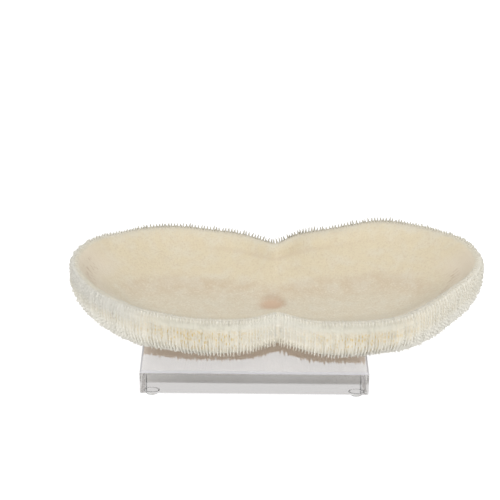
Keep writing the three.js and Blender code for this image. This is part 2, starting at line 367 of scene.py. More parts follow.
# Materials.
class Graph:
    """The nodes of a material or world, with short ways to add the ones that the looks need."""

    def __init__(self, owner):
        owner.use_nodes = True
        self.nodes, self.links = owner.node_tree.nodes, owner.node_tree.links

    def add(self, kind, **settings):
        made = self.nodes.new(kind)
        for key, value in settings.items():
            setattr(made, key, value)
        return made

    def feed(self, socket, value):
        """Gives a socket its value, which is another socket, a colour or a number."""
        if isinstance(value, bpy.types.NodeSocket):
            self.links.new(value, socket)
        elif isinstance(value, tuple):
            socket.default_value = (*value, 1)
        else:
            socket.default_value = value

    def math(self, operation, *values):
        made = self.add("ShaderNodeMath", operation=operation)
        for socket, value in zip(made.inputs, values):
            self.feed(socket, value)
        return made.outputs[0]

    def times(self, first, second):
        return self.math("MULTIPLY", first, second)

    def mix(self, share, first, second):
        """A colour mixed by share, where first and second are colours or sockets."""
        made = self.add("ShaderNodeMix", data_type="RGBA")
        for socket, value in ((0, share), (6, first), (7, second)):
            self.feed(made.inputs[socket], value)
        return made.outputs[2]

    def ramp(self, value, span, ends=(0, 1), shape="LINEAR"):
        """A value that goes from one end to the other over a span."""
        made = self.add("ShaderNodeMapRange", interpolation_type=shape)
        for key, number in zip(("From Min", "From Max", "To Min", "To Max"), (*span, *ends)):
            self.feed(made.inputs[key], number)
        self.feed(made.inputs["Value"], value)
        return made.outputs["Result"]

    def mask(self, name):
        return self.add("ShaderNodeAttribute", attribute_name=name).outputs["Fac"]

    def noise(self, where, size_mm, span, detail):
        """A share from 0 to 1 that follows noise of a given size."""
        made = self.add("ShaderNodeTexNoise")
        self.feed(made.inputs["Scale"], 1 / (size_mm * MM))
        self.feed(made.inputs["Detail"], detail)
        self.feed(made.inputs["Vector"], where)
        return self.ramp(made.outputs["Fac"], span)


WHITE = (1.0, 1.0, 1.0)
CHALK = (0.55, 0.53, 0.465)
# Greyer at the outside's two ends: partly the chalk's own grey, partly painted shade.
ASH = (0.515, 0.50, 0.453)
PALE = (0.58, 0.545, 0.455)
CREAM = (0.575, 0.505, 0.365)
BEIGE = (0.565, 0.51, 0.40)
TAN = (0.51, 0.425, 0.31)
# Pinker and lighter at the hollow's ends, the lightness painted light.
ROSE = (0.62, 0.55, 0.445)
SALMON = (0.51, 0.375, 0.27)
GOLD = (0.48, 0.33, 0.08)
# Brown specks, and the painted shade on the back and right of the scar's crater.
SPECK_AND_SHADE = (0.34, 0.22, 0.14)
# Painted shade that darkens the back rim's spikes.
SPIKE_SHADE = (0.30, 0.27, 0.21)
# Painted shade just under the rim's top along the front.
MARGIN_SHADE = (0.50, 0.48, 0.41)
# Painted light on stretches of the outside that lie in shade.
PAINTED_LIGHT = (0.64, 0.622, 0.565)
# The strongest painted light, and also the colour of the hollow's pale crumbs.
BRIGHT = (0.79, 0.745, 0.645)
STRAW = (0.50, 0.435, 0.325)

# Noises that break up the colours: the size in millimetres, the span from none to full, and the detail.
PATCHES = (12, (0.25, 0.5), 2)
BLOTCHES = (13, (0.45, 0.65), 2)
STAINS = (6, (0.5, 0.7), 2)
GRAINS = (1.5, (0.5, 0.75), 1)
CRUMBS = (1.6, (0.5, 0.75), 1)
GROUND_STAINS = (7, (0.35, 0.7), 2)
SEPTA_STAINS = (9, (0.5, 0.8), 2)

# Layers of colour, from the lowest up: the colour, its strength, and the mask and noise that place it.
HOLLOW_LAYERS = (
    (CREAM, 1, "wall", None),
    # Painted shade: a darker band at the foot of the back slope.
    (TAN, 0.95, "foot", PATCHES),
    (PALE, 0.45, None, BLOTCHES),
    (TAN, 0.25, None, STAINS),
    (TAN, 0.75, None, GRAINS),
    (BRIGHT, 0.28, "floor", CRUMBS),
    # Pinker ends, made lighter as painted light.
    (ROSE, 0.8, "pink_ends_and_light", None),
    # Painted shade: a darker line under the fold by the waist.
    (TAN, 0.6, "fold_shade", None),
    (SALMON, 1, "scar", None),
    # Painted shade on the back and right of the scar's crater.
    (SPECK_AND_SHADE, 0.33, "scar_shade", None),
    (CHALK, 1, "lip", None),
    # Painted light on the front slope just inside the rim, which lies in shade.
    (BRIGHT, 1, "light", None),
    (SPECK_AND_SHADE, 0.65, "dash", None),
)
# Greyer ends, partly painted shade; painted shade under the rim's top; painted light, then the strongest
# painted light.
OUTSIDE_LAYERS = (
    (ASH, 1, "ends", None),
    (MARGIN_SHADE, 1, "margin", None),
    (PAINTED_LIGHT, 1, "light", None),
    (BRIGHT, 1, "inner", None),
)
WALL_LAYERS = (
    (PALE, 1, None, GROUND_STAINS),
    (CREAM, 0.8, "lip", None),
    (CHALK, 1, "bar", None),
    *OUTSIDE_LAYERS,
    (GOLD, 1, "pit", None),
)
SEPTA_LAYERS = (
    (CREAM, 1, "gold", None),
    (CHALK, 1, "crest", None),
    (PALE, 0.25, None, SEPTA_STAINS),
    *OUTSIDE_LAYERS,
    # Painted shade on the back rim's spikes.
    (SPIKE_SHADE, 0.7, "tip", None),
)
CORAL_ROUGHNESS, CORAL_SHINE, GRAIN_STRENGTH = 0.85, 0.25, 0.6


def coral_material(name, base, layers, grain_mm, grain_height_mm):
    """A dry coral skeleton: layers of colour over a base colour, some of them painted light and shade, and
    fine grains.
    """
    material = bpy.data.materials.new(name)
    graph = Graph(material)
    shader = graph.nodes["Principled BSDF"]
    graph.feed(shader.inputs["Roughness"], CORAL_ROUGHNESS)
    graph.feed(shader.inputs["Specular IOR Level"], CORAL_SHINE)
    where = graph.add("ShaderNodeTexCoord").outputs["Object"]
    colour = base
    for over, strength, mask, noise in layers:
        shares = [strength]
        if mask:
            shares.append(graph.mask(mask))
        if noise:
            shares.append(graph.noise(where, *noise))
        colour = graph.mix(reduce(graph.times, shares), colour, over)
    graph.feed(shader.inputs["Base Color"], colour)
    grains = graph.add("ShaderNodeTexVoronoi", feature="SMOOTH_F1")
    graph.feed(grains.inputs["Scale"], 1 / (grain_mm * MM))
    graph.feed(grains.inputs["Vector"], where)
    bump = graph.add("ShaderNodeBump", invert=True)
    graph.feed(bump.inputs["Strength"], GRAIN_STRENGTH)
    graph.feed(bump.inputs["Distance"], grain_height_mm * MM)
    graph.feed(bump.inputs["Height"], grains.outputs["Distance"])
    graph.feed(shader.inputs["Normal"], bump.outputs["Normal"])
    return material


def clear_material(name, colour, roughness, ior, clear):
    """A clear plastic, of which a share may be cloudy."""
    material = bpy.data.materials.new(name)
    graph = Graph(material)
    shader = graph.nodes["Principled BSDF"]
    graph.feed(shader.inputs["Base Color"], colour)
    graph.feed(shader.inputs["Transmission Weight"], clear)
    graph.feed(shader.inputs["IOR"], ior)
    graph.feed(shader.inputs["Roughness"], roughness)
    return material


# Where the outside's greyer ends, painted shade, painted light and golden staining lie, in millimetres, and
# how strong they are.
ENDS_X, RIGHT_END, ENDS_TOP_DOWN = (80, 130), 0.1, (-1, 3)
ENDS_FADE, ENDS_FADE_DOWN = 0.95, (8, 18)
ENDS_BACK_FADE, ENDS_BACK_Y = 0.6, (10, 50)
INSIDE_LIGHT, INSIDE_DOWN, INSIDE_Y, INSIDE_X = 0.45, (5, 1), (30, -20), (140, 110)
WAIST_LIGHT, WAIST_LIGHT_HALF_WIDTH, WAIST_LIGHT_Y = 0.5, 28, (0, -30)
RIGHT_LIGHT, RIGHT_LIGHT_X, RIGHT_LIGHT_Y = 0.25, (95, 125), (40, 0)
LOW_LIGHT, LOW_LIGHT_X, LOW_LIGHT_DOWN = 0.7, (80, 110), (12, 24)
SLOPE_BRIGHT, SLOPE_DOWN, SLOPE_X, SLOPE_Y = 0.2, (0.5, -2), (115, 85), (20, -30)
FOOT_BRIGHT, FOOT_BRIGHT_DOWN, FOOT_BRIGHT_Y = 0.8, (17, 24), (0, -20)
FOOT_BRIGHT_HUMPS = ((0, 28, 1), (-98, 32, 0.15))
MARGIN_DOWN, MARGIN_END_DOWN, MARGIN_X, MARGIN_Y = (1, 5), (6, 11), (110, 80), (40, 0)
GOLD_FRONT, GOLD_BACK = ((-62, 42, 1), (64, 38, 0.8)), ((-75, 40, 0.7), (60, 45, 0.6))
GOLD_DOWN, GOLD_END_DOWN = (7, 13), (24, 34)
LIP_CREAM_RUN = 5


def ends_grey_and_shade(x, y, away):
    """The duller, greyer stretches under the rim at the coral's two ends, of which the left one is the
    duller: partly the chalk's own grey, partly painted shade where the ends turn from the light.
    """
    side = smoothstep(*ENDS_X, np.abs(x)) * np.where(x < 0, 1, RIGHT_END) * smoothstep(*ENDS_TOP_DOWN, away)
    side = side * (1 - ENDS_FADE * smoothstep(*ENDS_FADE_DOWN, away))
    return side * (1 - ENDS_BACK_FADE * smoothstep(*ENDS_BACK_Y, y))


def painted_light_share(x, y, away):
    """Painted light: whiter stretches where the outside lies in shade, on the rim's top along the front, the
    waist, the right end, and low on the wall.
    """
    inside = INSIDE_LIGHT * smoothstep(*INSIDE_DOWN, away) * smoothstep(*INSIDE_Y, y)
    inside = inside * smoothstep(*INSIDE_X, np.abs(x))
    waist = WAIST_LIGHT * hump(x, 0, WAIST_LIGHT_HALF_WIDTH) * smoothstep(*WAIST_LIGHT_Y, y)
    right = RIGHT_LIGHT * smoothstep(*RIGHT_LIGHT_X, x) * smoothstep(*RIGHT_LIGHT_Y, y)
    low = LOW_LIGHT + (1 - LOW_LIGHT) * smoothstep(*LOW_LIGHT_X, np.abs(x))
    return np.maximum.reduce((inside, waist, right, low * smoothstep(*LOW_LIGHT_DOWN, away)))


def strong_painted_light_share(x, y, away):
    """The strongest painted light, on stretches in shade: the slope just inside the rim along the front, and
    the foot of the front wall at the waist and, fainter, on the left."""
    slope = smoothstep(*SLOPE_DOWN, away) * smoothstep(*SLOPE_Y, y) * smoothstep(*SLOPE_X, np.abs(x))
    foot = smoothstep(*FOOT_BRIGHT_DOWN, away) * humps(x, FOOT_BRIGHT_HUMPS) * smoothstep(*FOOT_BRIGHT_Y, y)
    return np.maximum(SLOPE_BRIGHT * slope, FOOT_BRIGHT * foot)


def margin_painted_shade(x, y, away):
    """Painted shade: the duller strip just under the rim's top along the front."""
    strip = smoothstep(*MARGIN_DOWN, away) * (1 - smoothstep(*MARGIN_END_DOWN, away))
    return strip * smoothstep(*MARGIN_Y, y) * smoothstep(*MARGIN_X, np.abs(x))


def gold_share(x, y, away):
    """Where the gaps between septa are stained golden: patches on the walls of both lobes."""
    patches = np.where(y < 0, humps(x, GOLD_FRONT), humps(x, GOLD_BACK))
    return patches * smoothstep(*GOLD_DOWN, away) * (1 - smoothstep(*GOLD_END_DOWN, away))


def outside_grey_shade_and_light(x, y, away):
    """Masks that the septa share with the ground between them: the greyer ends, partly painted shade, the
    painted shade under the rim's top, and the painted light.
    """
    shares = {"ends": ends_grey_and_shade, "margin": margin_painted_shade, "light": painted_light_share, "inner": strong_painted_light_share}
    return {name: share(x, y, away) for name, share in shares.items()}


# The pieces of the coral.
def tooth_heights(away, full, start):
    """Heights of septa along their lines: rows of teeth, of which the first stands on the lip's edge.
    Returns the heights, and how near each point is to the middle of its tooth."""
    count = len(away)
    pitch = TOOTH_PITCH * one_each(PITCH_SPREAD, count)
    wander = WANDER * np.sin(away / one_each(WANDER_LENGTH, count) + one_each(ANY_PHASE, count))
    phase = (away - start) / pitch + wander * smoothstep(*WANDER_DOWN, away)
    tooth = 0.5 + 0.5 * np.cos(2 * np.pi * phase)
    which = np.clip(np.round(phase) + TEETH_ABOVE, 0, TEETH - 1).astype(int)
    tall = RANDOM.uniform(LEAST_TOOTH, 1, (count, TEETH))[np.arange(count)[:, None], which]
    tall = 1 - (1 - tall) * smoothstep(start, start + LEAST_TOOTH_RUN, away)
    cut = TOOTH_CUT * one_each(CUT_SPREAD, count) + FIRST_CUT * hump(away - start, pitch / 2, FIRST_CUT_WIDTH)
    cut = cut + LOW_CUT * smoothstep(*LOW_CUT_DOWN, away)
    uneven = 1 - (1 - one_each(FIRST_SPREAD, count)) * hump(away, 0, start + FIRST_MARGIN)
    over_lip = OVER_LIP * smoothstep(0, OVER_LIP_RUN, away - away[:, :1]) * one_each(OVER_LIP_SPREAD, count)
    rise = over_lip + (1 - over_lip) * smoothstep(RISE_FROM * start, start, away)
    ends = rise * (BLADE_END + (1 - BLADE_END) * smoothstep(0, BLADE_END_RUN, away[:, -1:] - away))
    full = full * one_each(HEIGHT_SPREAD, count)
    return full * tall * (1 - cut * (1 - tooth)) * uneven * ends, tooth


def septa_rows(index, kind):
    """Cross-sections of some septa: two feet and a narrow crest, along each line down the outside. Returns
    their points, map coordinates and masks."""
    count = len(index)
    reach = RANDOM.uniform(*kind.reach, count) if kind.reach else np.ones(count)
    angles = ANGLES[index * 2]
    inner = INNER_BACK + (INNER_FRONT - INNER_BACK) * smoothstep(*INNER_SINE, np.sin(angles))
    point, normal, side, away = outside_lines(angles, kind.samples, BLADE_CROWDING, reach, inner)
    x, y = point[..., 0], point[..., 1]
    height, tooth = tooth_heights(away, kind.height, kind.start)
    near_lip = smoothstep(*FRONT_LIP_DOWN, away) * (1 - smoothstep(*PAST_LIP_DOWN, away))
    height = height * (1 - FRONT_LIP_CUT * smoothstep(*FRONT_LIP_Y, y) * near_lip)
    spike = kind.spike * hump(away, kind.start, SPIKE_RUN)
    thick = kind.thick * one_each(THICK_SPREAD, count) / 2
    thick = thick + (SPIKE_THICK - LONG.thick) / 2 * spike * one_each(SPIKE_SPREAD, count)
    thick = (thick * smoothstep(0, THICK_RUN, away - away[:, :1]))[..., None]
    # The back rim's spikes, which also carry painted shade.
    back_spike = spike * smoothstep(*SPIKE_Y, y) * smoothstep(*SPIKE_X, np.abs(x))
    low_end = smoothstep(*LOW_END_DOWN, away) * smoothstep(*LOW_END_X, np.abs(x))
    height = height * (1 + (SPIKE_EXTRA + humps(x, SPIKE_HUMPS)) * back_spike)
    height = height * (1 + LOW_END_EXTRA * low_end)
    normal = normal + np.array((0, 0, SPIKE_TURN)) * back_spike[..., None]
    normal /= np.linalg.norm(normal, axis=-1, keepdims=True)
    bend = BEND * np.sin(away / one_each(BEND_LENGTH, count) + one_each(ANY_PHASE, count))
    bend = bend * smoothstep(0, BEND_RUN, away) + one_each(LEAN_SPREAD, count) * height
    top = point + normal * height[..., None] + side * bend[..., None]
    narrow = np.minimum((CREST_HALF + NOTCH_HALF * (1 - tooth))[..., None], thick)
    root = point - normal * ROOT_DEPTH
    across = (root - side * thick, top - side * narrow, top + side * narrow, root + side * thick)
    crest = np.clip(CREST_GAIN * height / LONG.height, 0, 1)
    stains_light_and_shade = {"tip": back_spike, "gold": gold_share(x, y, away), **outside_grey_shade_and_light(x, y, away)}
    rows = {name: np.repeat(share[..., None], len(across), 2) for name, share in stains_light_and_shade.items()}
    rows["crest"] = np.stack((0 * crest, crest, crest, 0 * crest), 2)
    rows["points"] = np.stack(across, 2)
    u = index[:, None, None] + BLADE_UV + 0 * away[..., None]
    rows["uv"] = np.stack((u, np.repeat(away[..., None], len(across), 2)), -1)
    return rows


def septa_piece(name, chosen, material):
    """Long and short septa by turns, as thin blades with rows of teeth."""
    long = septa_rows(chosen[chosen % 2 == 0], LONG)
    short = septa_rows(chosen[chosen % 2 == 1], SHORT)
    long_count, short_count = len(long["points"]), len(short["points"])
    first_short = long["points"][..., 0].size
    faces = np.concatenate(
        (
            blade_faces(long_count, LONG.samples, 0),
            blade_faces(short_count, SHORT.samples, first_short),
        )
    )
    joined = {}
    for key in long:
        joined[key] = np.concatenate([part[key].reshape(-1, *part[key].shape[3:]) for part in (long, short)])
    points = joined.pop("points") + CORAL_MIDDLE
    uv = fit_uv(joined.pop("uv"))
    return mesh_piece(name, points, faces, material, "coral", uv, joined)


def wall_piece(material):
    """The ground that the septa stand on, with small bars that bridge the grooves and leave pits."""
    point, normal, _, away = outside_lines(ANGLES, WALL_ROWS, WALL_CROWDING, np.ones(COLUMNS))
    x, y = point[..., 0], point[..., 1]
    groove = away[1::2]
    phase = groove / one_each(BAR_PITCH, SEPTA) + one_each((0, 1), SEPTA)
    phase = phase + BAR_WANDER * np.sin(groove / BAR_WANDER_LENGTH)
    bar = np.clip(np.cos(2 * np.pi * phase) * RANDOM.uniform(*BAR_SPREAD, (SEPTA, WALL_ROWS)), 0, 1)
    bars = np.zeros_like(away)
    bars[1::2] = bar
    bars[0::2] = (bar + np.roll(bar, 1, 0)) / 2
    gold = gold_share(x, y, away)
    deep = RANDOM.uniform(*PIT_SPREAD, (SEPTA, PITS))[np.arange(SEPTA)[:, None], phase.astype(int)]
    pit = np.clip(PIT_GAIN * deep, 0, 1) * np.clip(1 - np.cos(2 * np.pi * phase), 0, 1)
    pits = np.zeros_like(away)
    pits[1::2] = np.clip(PIT_GOLD * pit * gold[1::2], 0, 1)
    below_lip = smoothstep(*GROUND_DOWN, away) * (1 - GROUND_LOW_CUT * smoothstep(*GROUND_LOW_DOWN, away))
    ground = GROUND_RISE * (1 - GOLD_SINK * np.clip(gold, 0, 1))
    ground = ground * (1 - END_SINK * smoothstep(*END_SINK_X, np.abs(x)))
    rise = LIP_RIB * RIDGE_OR_GROOVE * (1 - smoothstep(0, RIB_RUN, away))
    rise = rise + (ground + BAR_HEIGHT * bars) * below_lip - FOOT_SINK * smoothstep(*FOOT_SINK_DOWN, away)
    points = (point + normal * rise[..., None]).reshape(-1, 3) + CORAL_MIDDLE
    uv = fit_uv(np.stack((np.arange(COLUMNS)[:, None] + 0 * away, away), -1).reshape(-1, 2))
    masks = outside_grey_shade_and_light(x, y, away)
    masks["bar"] = bars * below_lip
    masks["pit"] = pits
    masks["lip"] = (1 - smoothstep(0, LIP_CREAM_RUN, away)) * (1 - masks["ends"])
    return mesh_piece("coral_wall", points, dish_faces(WALL_ROWS), material, "coral", uv, masks)


# Where the hollow's stained patches, painted shade and painted light lie, and how far their edges are frayed.
LIP_FRAY, EDGE_FRAY, WALL_FRAY, SCAR_FRAY = 0.006, 0.018, 0.024, 0.072
FAR_FRONT_X, FAR_BACK_X = (70, 115), (120, 155)
FAR_LIP, FAR_LIP_SHARE, NEAR_LIP, NEAR_LIP_SHARE = 0.4, (0.905, 0.94), 0.5, (0.84, 0.96)
WALL_SHARE, WALL_Y = (0.36, 0.56), (-20, 50)
FLOOR_FADE, FLOOR_SHARE = 0.7, (0.3, 0.5)
FOOT_SHADE_SHARE, FOOT_SHADE_FLOOR_SHARE, FOOT_SHADE_Y = (0.5, 0.42), (0.05, 0.4), (-5, 25)
SCAR_SPAN = (0.12, 0.75)
CRESCENT_HALF_WIDTH, CRESCENT_HALF_DEPTH, CRESCENT_BACK = 10.5, 12, 1
CRESCENT_OUT, CRESCENT_WIDTH, CRESCENT_TURN, CRESCENT_PAST = 0.9, 0.28, 0.7, (0, 9)
CREASE_OUT, CREASE_WIDTH, CREASE_MIDDLE, CREASE_HALF_LENGTH = 0.79, 0.02, 5, 60
PINK_ENDS_SHARE, PINK_ENDS_END_SHARE, PINK_ENDS_X, PINK_ENDS_Y = (0.5, 0.8), (0.9, 0.95), (105, 140), (55, 25)
PAINTED_LIGHT_SHARE, PAINTED_LIGHT_X, PAINTED_LIGHT_Y = (0.42, 0.74), (140, 105), (20, -30)

# Small brown marks beside the rim at the hollow's two ends, in groups of columns and rows of its grid.
STROKE_COLUMNS, FRONT_STROKE_COLUMNS, STROKE_ROWS, STROKE_STRENGTH = 6, 4, 3, 0.75
SPOT_CELLS, SPOT_STRENGTH, SPOT_CHANCE, SPOT_Y = 2, 0.6, (0.6, 0.95), (-40, -20)
STROKES_FROM, STROKES_DIP, STROKES_DIP_Y, SPOTS_FROM = 0.6, 0.08, (15, -15), 0.7
MARKS_IN, MARKS_OUT, MARKS_X, MARKS_Y = (0, 0.05), (0.18, 0.14), (85, 110), (32, 18)


def dash_share(x, y, u):
    """The brown marks: short strokes along the septa's lines on the right, and spots on the left."""
    rows = len(u)
    column, row = np.arange(COLUMNS)[:, None], np.arange(rows)
    chance = RANDOM.uniform(0, 1, (COLUMNS, rows))
    back_stroke = column % STROKE_COLUMNS < STROKE_COLUMNS / 2
    front_stroke = column % FRONT_STROKE_COLUMNS < FRONT_STROKE_COLUMNS / 2
    strokes = chance[column // STROKE_COLUMNS, row // STROKE_ROWS]
    strokes = strokes * np.where(y > 0, back_stroke, front_stroke)
    dots = chance[column // SPOT_CELLS, row // SPOT_CELLS + rows // 2]
    spots = SPOT_STRENGTH * smoothstep(*SPOT_CHANCE, dots) * smoothstep(*SPOT_Y, y)
    past_floor = u - np.where(x > 0, STROKES_FROM - STROKES_DIP * smoothstep(*STROKES_DIP_Y, y), SPOTS_FROM)
    beside_rim = smoothstep(*MARKS_IN, past_floor) * smoothstep(*MARKS_OUT, past_floor)
    beside_rim = beside_rim * smoothstep(*MARKS_X, np.abs(x)) * smoothstep(*MARKS_Y, y)
    return np.where(x > 0, STROKE_STRENGTH * strokes, spots) * beside_rim


def hollow_masks(x, y, u, back, scar):
    """Shares of the hollow's colour marks, with its painted shade and light: a band at the slope's foot, the
    scar's crater and a line under the fold are painted shade, the ends are pinker with painted light, and the
    front slope has painted light.
    """
    out = np.abs(x)
    far = smoothstep(*FAR_FRONT_X, out) * (1 - back) + smoothstep(*FAR_BACK_X, out) * back
    rough = RANDOM.normal(0, 1, x.shape)
    frayed = u + EDGE_FRAY * rough
    dash = dash_share(x, y, u)
    far_lip = FAR_LIP * smoothstep(*FAR_LIP_SHARE, u + LIP_FRAY * rough) * far
    near_lip = NEAR_LIP * smoothstep(*NEAR_LIP_SHARE, frayed) * (1 - far)
    # Painted shade along the foot of the back slope.
    foot = smoothstep(*FOOT_SHADE_SHARE, frayed) * smoothstep(*FOOT_SHADE_FLOOR_SHARE, u)
    # Painted shade on the back and right of the scar's crater.
    beside_scar, past_scar = x - SCAR_X, y - SCAR_Y
    deep = (past_scar - CRESCENT_BACK) / CRESCENT_HALF_DEPTH
    round_scar = np.hypot(beside_scar / CRESCENT_HALF_WIDTH, deep)
    scar_shade = hump(round_scar, CRESCENT_OUT, CRESCENT_WIDTH)
    scar_shade = scar_shade * smoothstep(*CRESCENT_PAST, past_scar + CRESCENT_TURN * beside_scar)
    # Painted shade: a darker line under the fold by the waist.
    fold_shade = hump(u, CREASE_OUT, CREASE_WIDTH) * hump(x, CREASE_MIDDLE, CREASE_HALF_LENGTH)
    # The ends' pinker tone, also painted light.
    pink_ends_and_light = smoothstep(*PINK_ENDS_SHARE, u) * (1 - smoothstep(*PINK_ENDS_END_SHARE, u))
    return {
        "wall": smoothstep(*WALL_SHARE, u + WALL_FRAY * rough) * smoothstep(*WALL_Y, y),
        "floor": 1 - FLOOR_FADE * smoothstep(*FLOOR_SHARE, u) * smoothstep(*WALL_Y, y),
        "foot": foot * smoothstep(*FOOT_SHADE_Y, y),
        "scar": smoothstep(*SCAR_SPAN, scar + SCAR_FRAY * rough),
        "scar_shade": scar_shade,
        "fold_shade": fold_shade * back,
        "pink_ends_and_light": pink_ends_and_light * smoothstep(*PINK_ENDS_X, out) * smoothstep(*PINK_ENDS_Y, y),
        "lip": far_lip + near_lip,
        # Painted light on the front slope just inside the rim.
        "light": smoothstep(*PAINTED_LIGHT_SHARE, frayed) * smoothstep(*PAINTED_LIGHT_Y, y) * smoothstep(*PAINTED_LIGHT_X, out),
        "dash": dash,
    }


def hollow_piece(material):
    """The hollow up to the lip's top, with low radial ribs, grain, growth rings, and a fold by the waist."""
    u = np.linspace(1, 0, HOLLOW_ROWS) ** HOLLOW_CROWDING
    u = (u * (1 - HOLLOW_START) + HOLLOW_START) * LIP_TOP
    t = ANGLES[:, None]
    point, up, _ = with_normals(hollow, t + 0 * u, u + 0 * t)
    up *= np.sign(up[..., 2:3])
    x, y = point[..., 0], point[..., 1]
    back = smoothstep(*HOLLOW_BACK_Y, y)
    inside = smoothstep(0, LIP_EASE, LIP_TOP - u)
    ribs = RIDGE_OR_GROOVE * (HOLLOW_RIB + (LIP_RIB - HOLLOW_RIB) * (1 - inside))
    ribs = ribs * smoothstep(*HOLLOW_RIB_SHARE, u)
    grains = RANDOM.normal(0, GRAIN_HEIGHT, x.shape) * inside * smoothstep(*GRAIN_SHARE, u)
    rings = RING_HEIGHT * np.sin(2 * np.pi * RINGS * u + RING_WOBBLE * np.sin(RING_LOBES * t)) * inside
    fold = FOLD_HEIGHT * smoothstep(*FOLD_FOOT_SHARE, u) * (1 - smoothstep(*FOLD_TOP_SHARE, u))
    fold = fold * hump(x, FOLD_MIDDLE, FOLD_HALF_WIDTH) * back
    point = point + up * (ribs + grains + rings + fold)[..., None]
    masks = hollow_masks(x, y, u, back, scar_share(point))
    uv = fit_uv(point[..., :2].reshape(-1, 2))
    points = point.reshape(-1, 3) + CORAL_MIDDLE
    return mesh_piece("coral_hollow", points, dish_faces(HOLLOW_ROWS), material, "coral", uv, masks)


def build_coral():
    septa = coral_material("coral_septa", PALE, SEPTA_LAYERS, grain_mm=0.8, grain_height_mm=0.12)
    wall = coral_material("coral_wall", STRAW, WALL_LAYERS, grain_mm=0.9, grain_height_mm=0.2)
    inside = coral_material("coral_hollow", BEIGE, HOLLOW_LAYERS, grain_mm=1.3, grain_height_mm=0.25)
    index = np.arange(SEPTA)
    septa_piece("septa_back", index[: SEPTA // 2], septa)
    septa_piece("septa_front", index[SEPTA // 2 :], septa)
    wall_piece(wall)
    hollow_piece(inside)


# The stand.
def block_piece(material, bevel_material):
    """A clear block with a bevel round its top, ground a little less smooth than its faces."""
    low, high = (np.array(corner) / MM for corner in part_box("acrylic_block"))
    inset = np.array((BLOCK_EASE, 0, 0, BLOCK_BEVEL))
    up = np.array((low[2], low[2] + BLOCK_EASE, high[2] - BLOCK_BEVEL, high[2]))
    across = np.array((1, 1, 1, -1, -1, -1, -1, 1))
    along = np.array((-1, 1, 1, 1, 1, -1, -1, -1))
    eased = BLOCK_EASE * np.array(((0, 1), (0, 1), (1, 0), (1, 0), (0, 1), (0, 1), (1, 0), (1, 0)))
    half = (high - low) / 2
    x = across[:, None] * (half[0] - eased[:, :1] - inset)
    y = along[:, None] * (half[1] - eased[:, 1:] - inset)
    points = np.stack((x, y, up + 0 * x), -1).reshape(-1, 3) + np.array((*(low + half)[:2], 0))
    sides, rows = len(across), len(up)
    cap = np.array(((0, 1, 2, 3), (0, 3, 4, 7), (4, 5, 6, 7))) * rows
    faces = np.concatenate((grid_faces(sides, rows), cap[:, ::-1], cap + rows - 1))
    piece = mesh_piece("clear_block", points, faces, material, "acrylic_block", smooth=False)
    piece.data.materials.append(bevel_material)
    for side in range(sides):
        top_row = side * (rows - 1) + rows - 2
        piece.data.polygons[top_row].material_index = 1


def foot_piece(node_name, material):
    """A clear dome with a flat underside and a short upright wall. Its top is dipped inside a thin ring,
    which just touches the block at the front and just clears it at the back."""
    low, high = (np.array(corner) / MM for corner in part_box(node_name))
    middle = (low + high) / 2
    radius = (high[0] - low[0]) / 2
    height = high[2] - low[2]
    ring = radius - BUMPER_RING
    turn = np.linspace(0, np.pi / 2, BUMPER_ARC_STEPS + 1)
    dome = BUMPER_FLAT + (radius - BUMPER_FLAT) * np.sin(turn)
    out = np.concatenate(((BUMPER_PINHOLE,), dome, (radius, ring, ring - BUMPER_RING_EDGE, BUMPER_PINHOLE)))
    touch = BUMPER_TOUCH if "front" in node_name else -BUMPER_TOUCH
    top = np.array((touch, touch, -BUMPER_DIP, -BUMPER_DIP))
    up = np.concatenate(((0,), (height - BUMPER_WALL) * (1 - np.cos(turn)), height + top))
    angle = np.linspace(0, 2 * np.pi, BUMPER_SIDES, endpoint=False)[:, None]
    points = np.stack((out * np.cos(angle), out * np.sin(angle), up + 0 * angle), -1)
    points = points.reshape(-1, 3) + np.array((middle[0], middle[1], low[2]))
    faces = grid_faces(BUMPER_SIDES, len(out))
    return mesh_piece("clear_" + node_name, points, faces, material, node_name)


def build_stand():
    acrylic = clear_material("clear_acrylic", (0.79, 0.772, 0.762), roughness=0, ior=1.49, clear=1)
    ground = clear_material("ground_acrylic", (0.9, 0.89, 0.93), roughness=0.35, ior=1.49, clear=0.6)
    bumper = clear_material("clear_bumper", (0.95, 0.95, 0.95), roughness=0.2, ior=1.48, clear=0.7)
    block_piece(acrylic, ground)
    for name in sorted(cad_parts):
        if name.startswith("foot_"):
            foot_piece(name, bumper)


# The stage: a pale floor, soft light and the photograph's camera. The floor's lengths are in metres from the
# block's middle. SHADE is the coral's shade under the block, and DIM the dimmer floor behind the block.
# SHIFT, DEPTHS and STRENGTH hold the values at the two ends of the span before them.
STAGE_SIZE, STAGE_DROP = 12, 0.0003
STAGE_PAINT, STAGE_ROUGHNESS = (0.92, 0.92, 0.92), 0.9
STAGE_GLOW, GLOW_PART = 1.3, 0.7
SHADE_TINT, SHADE_DEPTH = (1.0, 0.77, 0.55), 0.41
SHADE_EDGE_Y, SHADE_BACK_Y, SHADE_END_X = (-0.0318, -0.0306), (0.04, 0.06), (0.0885, 0.0895)
SHADE_WAIST, SHADE_WAIST_DEPTH, SHADE_WAIST_HALF_WIDTH, SHADE_WAIST_FALL = 0.019, 0.015, 0.016, 0.37
SHADE_LEFT_X, SHADE_LEFT_SHIFT = (-0.1, -0.045), (0.0095, 0)
SHADE_RIGHT_X, SHADE_RIGHT_SHIFT = (0.02, 0.06), (0, -0.003)
FRINGE_SCALE, FRINGE_DEPTH = 600, 0.011
DIM_HALF_LENGTH, DIM_HALF_DEPTH, DIM_MIDDLE = 0.155, 0.085, 0.1
DIM_AWAY, DIM_DEPTHS = (0.6, 1.05), (0.7, 0)
ROOM_Y, ROOM_STRENGTH = (0.2, 0.8), (0.86, 0.83)

